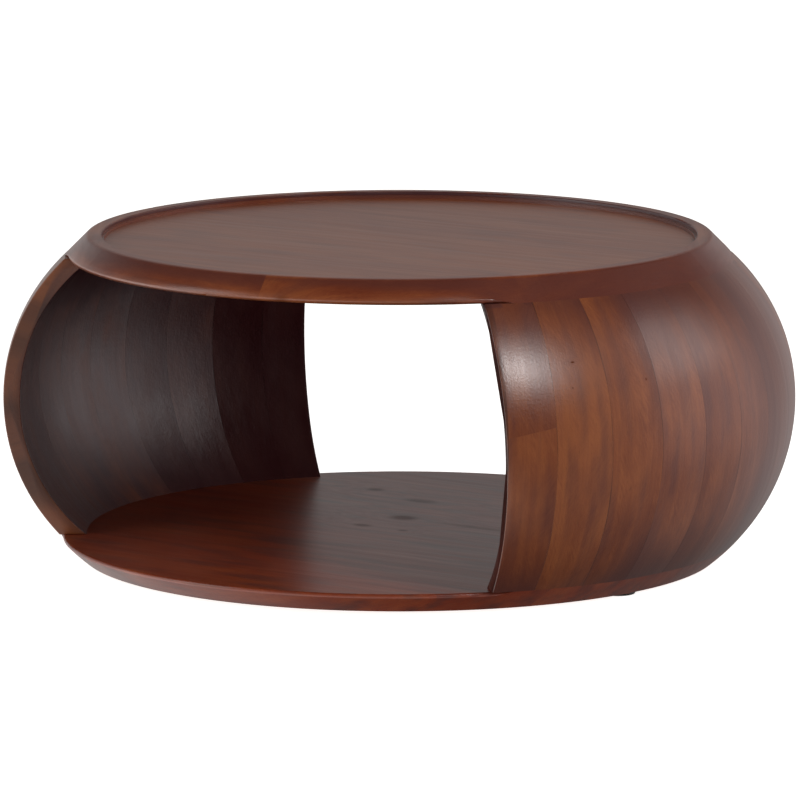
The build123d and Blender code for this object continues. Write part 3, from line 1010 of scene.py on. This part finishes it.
class DRUMTABLE_OT_studio(bpy.types.Operator):
    """Sets up the floor, the softboxes, the room and the camera"""

    bl_idname = "drumtable.studio"
    bl_label = "Studio"

    # Side of the floor and distance of the softboxes from the table's middle, in metres
    floor_size = 60.0
    light_distance = 3.2

    # Name of each softbox, azimuth and elevation in degrees, width and height in metres
    softboxes = (
        ("key", 38, 37, 0.55, 0.70),
        ("tall", 40, 38, 0.68, 1.70),
        ("side", 94, 28, 1.3, 1.3),
        ("left", -75, 30, 1.2, 1.6),
    )

    # Azimuth, elevation, spread from the middle to the edge, in degrees, brightness and colour
    glows = (
        (100, 12, 38, 0.86, "#FFF2F3"),
        (90, -10, 56, 0.46, "#FFF2F3"),
        (142, -4, 34, 0.45, "#FFF2F1"),
        (138, -34, 36, 0.15, "#FFFFFF"),
        (178, 4, 40, 0.28, "#FFFFFF"),
        (180, 40, 24, 0.40, "#FFFFFF"),
        (-75, -22, 60, 1.95, "#FFFFFF"),
        (-125, -20, 60, 0.95, "#FFFFFF"),
        (0, -35, 40, 1.00, "#FFFFFF"),
        (-8, 16, 44, 0.28, "#FFFFFF"),
    )

    def execute(self, context):
        studio = context.scene.drum_table_studio
        context.scene.view_settings.view_transform = "Standard"
        self.lay_floor(studio)
        powers = (studio.key_power, studio.tall_power, studio.side_power, studio.left_power)
        for (name, *place), power in zip(self.softboxes, powers):
            self.hang_softbox(f"{name} softbox", studio, *place, power)
        self.light_room(context.scene, studio)
        self.stand_camera(context.scene, studio)
        return {"FINISHED"}

    def lay_floor(self, studio):
        """Plain pale floor. Its glow shows to the camera alone, because the table stands in the
        softboxes' pool of light and the rest of the floor is far away."""
        deselect_all()
        bpy.ops.mesh.primitive_grid_add(x_subdivisions=8, y_subdivisions=8, size=self.floor_size)
        floor = bpy.context.object
        floor.name = "studio_floor"
        material, tree = new_material("studio floor, painted")
        where = add(tree, COORDINATES).outputs["Object"]
        mottle = add(tree, NOISE, {"Vector": where, "Scale": 2.0})
        surface = add(tree, SURFACE, {
            "Base Color": rgba(studio.floor),
            "Roughness": add(tree, RANGE, {0: mottle, 1: 0.3, 2: 0.7, 3: 0.85, 4: 0.95}),
            "Emission Color": rgba(studio.floor),
            "Emission Strength": studio.floor_glow,
        })
        add(tree, OUTPUT, {"Surface": surface})
        floor.data.materials.append(material)
        floor.visible_glossy = False
        floor.visible_diffuse = False

    def direction(self, studio, azimuth, elevation):
        """Direction from the table in degrees, the azimuth counted from the camera to the right."""
        around = studio.camera_azimuth + radians(azimuth)
        up = radians(elevation)
        return Vector((sin(around) * cos(up), -cos(around) * cos(up), sin(up)))

    def hang_softbox(self, name, studio, azimuth, elevation, width, height, power):
        """Softbox aimed at the table, unseen by the camera."""
        way = self.direction(studio, azimuth, elevation)
        aim = Vector((0, 0, (cad_box[0].z + cad_box[1].z) / 2))
        deselect_all()
        bpy.ops.object.light_add(type="AREA", location=aim + way * self.light_distance)
        lamp = bpy.context.object
        lamp.name = name
        lamp.rotation_euler = way.to_track_quat("Z", "Y").to_euler()
        lamp.data.shape = "RECTANGLE"
        lamp.data.size = width
        lamp.data.size_y = height
        lamp.data.energy = power
        lamp.visible_camera = False

    def light_room(self, scene, studio):
        """Dark studio with reflectors and lit walls round the table, whose light fills the
        shadows: each is a soft round glow, white or faintly pink, seen in one direction."""
        room = bpy.data.worlds.new("studio room")
        scene.world = room
        room.use_nodes = True
        tree = room.node_tree
        tree.nodes.clear()
        way = add(tree, COORDINATES).outputs["Generated"]
        light = (studio.room,) * 3
        for azimuth, elevation, spread, peak, tint in self.glows:
            aim = self.direction(studio, azimuth, elevation)
            near = add(tree, VECTOR_MATH, {0: way, 1: aim}, operation="DOT_PRODUCT")
            glow = add(tree, RANGE, {0: near, 1: cos(radians(spread)), 2: 1.0, 3: 0.0, 4: peak},
                       **SMOOTH)
            light = add(tree, VECTOR_MATH, {0: linear(tint), 1: glow, 2: light},
                        operation="MULTIPLY_ADD")
        background = add(tree, "ShaderNodeBackground", {"Color": light, "Strength": 1.0})
        add(tree, "ShaderNodeOutputWorld", {"Surface": background})

    def stand_camera(self, scene, studio):
        way = self.direction(studio, 0, 0) * studio.camera_distance
        deselect_all()
        bpy.ops.object.camera_add(
            location=(way.x, way.y, studio.camera_height),
            rotation=(radians(90) - studio.camera_pitch, 0, studio.camera_azimuth))
        camera = bpy.context.object
        camera.name = "camera"
        camera.data.lens = studio.lens
        camera.data.sensor_width = 36.0
        camera.data.shift_x = studio.shift
        camera.data.clip_end = 100.0
        scene.camera = camera


class DRUMTABLE_PT_panel(bpy.types.Panel):
    """Drum table in the sidebar of the 3D view"""

    bl_label = "Drum table"
    bl_space_type = "VIEW_3D"
    bl_region_type = "UI"
    bl_category = "Drum table"

    def draw(self, context):
        for operator in OPERATORS:
            self.layout.operator(operator.bl_idname)
        for group_name in GROUPS:
            group = getattr(context.scene, group_name)
            column = self.layout.column(align=True)
            for name in group.__annotations__:
                column.prop(group, name)


OPERATORS = (
    DRUMTABLE_OT_walls,
    DRUMTABLE_OT_rim,
    DRUMTABLE_OT_top,
    DRUMTABLE_OT_base,
    DRUMTABLE_OT_fittings,
    DRUMTABLE_OT_studio,
)
GROUPS = {
    "drum_table_walls": DrumTableWalls,
    "drum_table_finish": DrumTableFinish,
    "drum_table_studio": DrumTableStudio,
}
CLASSES = (*GROUPS.values(), *OPERATORS, DRUMTABLE_PT_panel)


def register():
    for item in CLASSES:
        bpy.utils.register_class(item)
    for name, group in GROUPS.items():
        setattr(bpy.types.Scene, name, bpy.props.PointerProperty(type=group))


def unregister():
    for name in GROUPS:
        delattr(bpy.types.Scene, name)
    for item in reversed(CLASSES):
        bpy.utils.unregister_class(item)


def main():
    register()
    bpy.ops.drumtable.walls()
    bpy.ops.drumtable.rim()
    bpy.ops.drumtable.top()
    bpy.ops.drumtable.base()
    bpy.ops.drumtable.fittings()
    bpy.ops.drumtable.studio()


if __name__ == "__main__":
    main()
